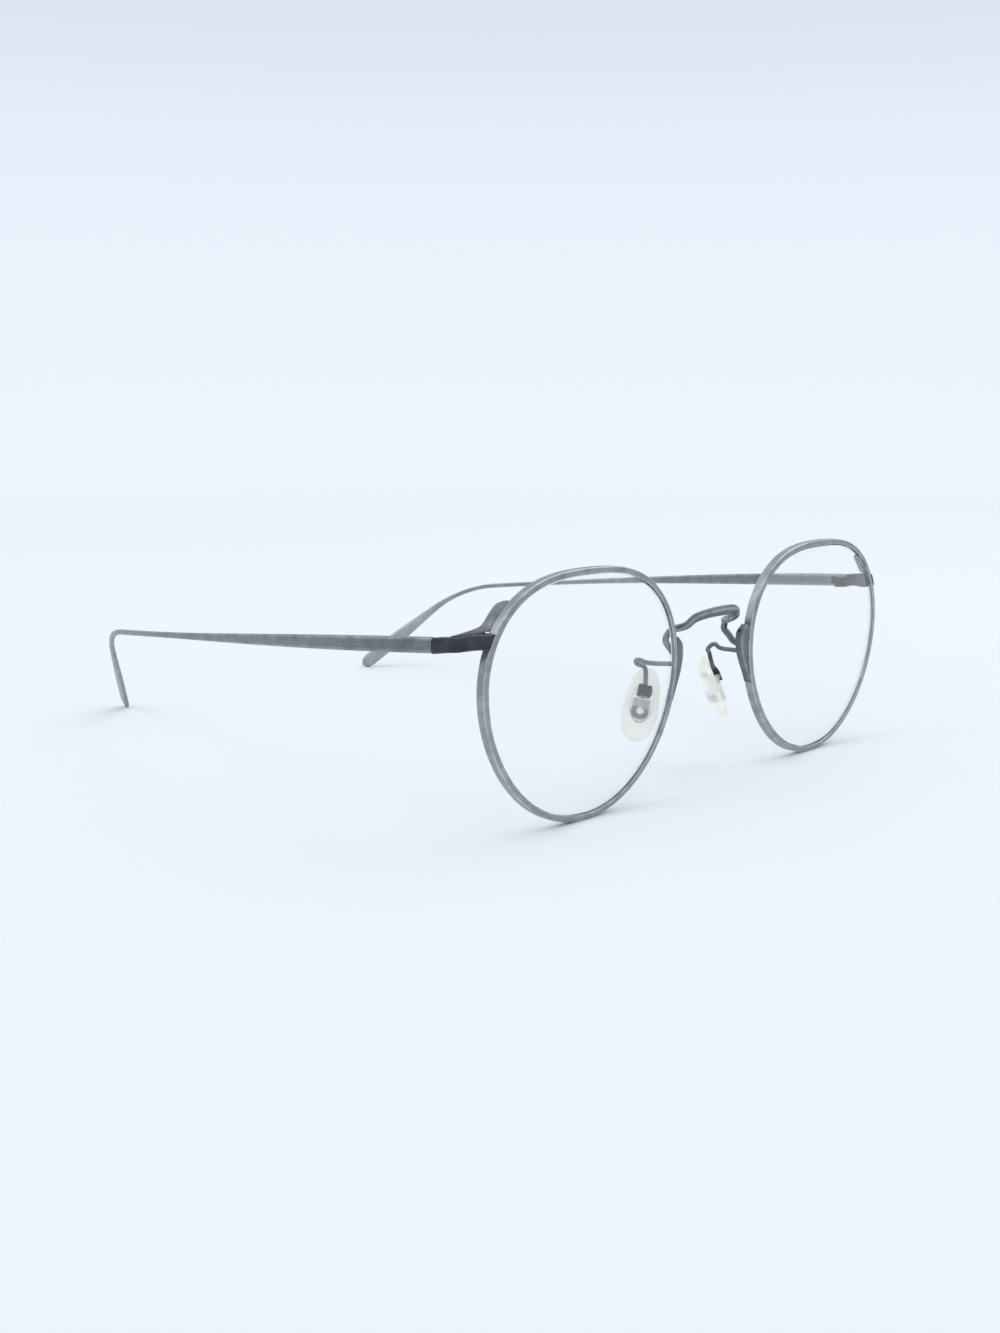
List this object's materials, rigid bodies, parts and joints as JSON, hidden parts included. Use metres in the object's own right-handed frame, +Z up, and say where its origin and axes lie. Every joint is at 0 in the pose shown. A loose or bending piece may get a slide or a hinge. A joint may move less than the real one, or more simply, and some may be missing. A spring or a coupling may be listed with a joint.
{
  "type": "round wire eyeglasses",
  "caption": "Round wire-rim eyeglasses with clear lenses, an arched bridge, nose pads on wire arms and folding temples bent over the ears.",
  "frame": {"origin": "on the table, under the middle of the whole outline", "axes": "+Z up from the table, +Y from the lenses back to the ears, +X towards the wearer's left"},
  "size_m": [0.129, 0.1429, 0.0431],
  "materials": {
    "pewter": "antique pewter plating on nickel alloy, satin",
    "dark_pewter": "darkened pewter plating, satin",
    "screw_steel": "bare stainless steel",
    "lens": "clear polished lens plastic",
    "ivory": "milky ivory acetate, softly polished"
  },
  "bodies": {
    "front": {"bridge": "dark_pewter", "right_rim": "pewter", "left_rim": "pewter", "right_lens": "lens", "left_lens": "lens", "right_nasal_plate": "dark_pewter", "left_nasal_plate": "dark_pewter", "right_pad_arm": "pewter", "left_pad_arm": "pewter", "right_pad_box": "dark_pewter", "left_pad_box": "dark_pewter", "right_pad_screw": "screw_steel", "left_pad_screw": "screw_steel", "right_endpiece": "dark_pewter", "left_endpiece": "dark_pewter", "right_rim_lock_upper": "dark_pewter", "left_rim_lock_upper": "dark_pewter", "right_rim_lock_lower": "dark_pewter", "left_rim_lock_lower": "dark_pewter", "right_rim_lock_screw": "screw_steel", "left_rim_lock_screw": "screw_steel", "right_front_hinge_leaf": "dark_pewter", "left_front_hinge_leaf": "dark_pewter", "right_hinge_screw": "screw_steel", "left_hinge_screw": "screw_steel"},
    "temple_right": {"right_temple": "pewter", "right_temple_hinge_leaf": "dark_pewter"},
    "temple_left": {"left_temple": "pewter", "left_temple_hinge_leaf": "dark_pewter"},
    "pad_right": {"right_nose_pad": "ivory", "right_pad_core": "screw_steel"},
    "pad_left": {"left_nose_pad": "ivory", "left_pad_core": "screw_steel"}
  },
  "joints": [
    {"name": "fold_right", "type": "hinge", "parent": "front", "child": "temple_right", "pos_m": [-0.06018, -0.05879, 0.0317], "axis": [0, 0, -1], "range_deg": [0, 80]},
    {"name": "fold_left", "type": "hinge", "parent": "front", "child": "temple_left", "pos_m": [0.06018, -0.05879, 0.0317], "axis": [0, 0, 1], "range_deg": [0, 85]},
    {"name": "rock_pad_right", "type": "hinge", "parent": "front", "child": "pad_right", "pos_m": [-0.01152, -0.06165, 0.01799], "axis": [-0.6014, 0.7734, 0.2006], "range_deg": [-6, 6]},
    {"name": "rock_pad_left", "type": "hinge", "parent": "front", "child": "pad_left", "pos_m": [0.01152, -0.06165, 0.01799], "axis": [0.6014, 0.7734, 0.2006], "range_deg": [-6, 6]}
  ]
}
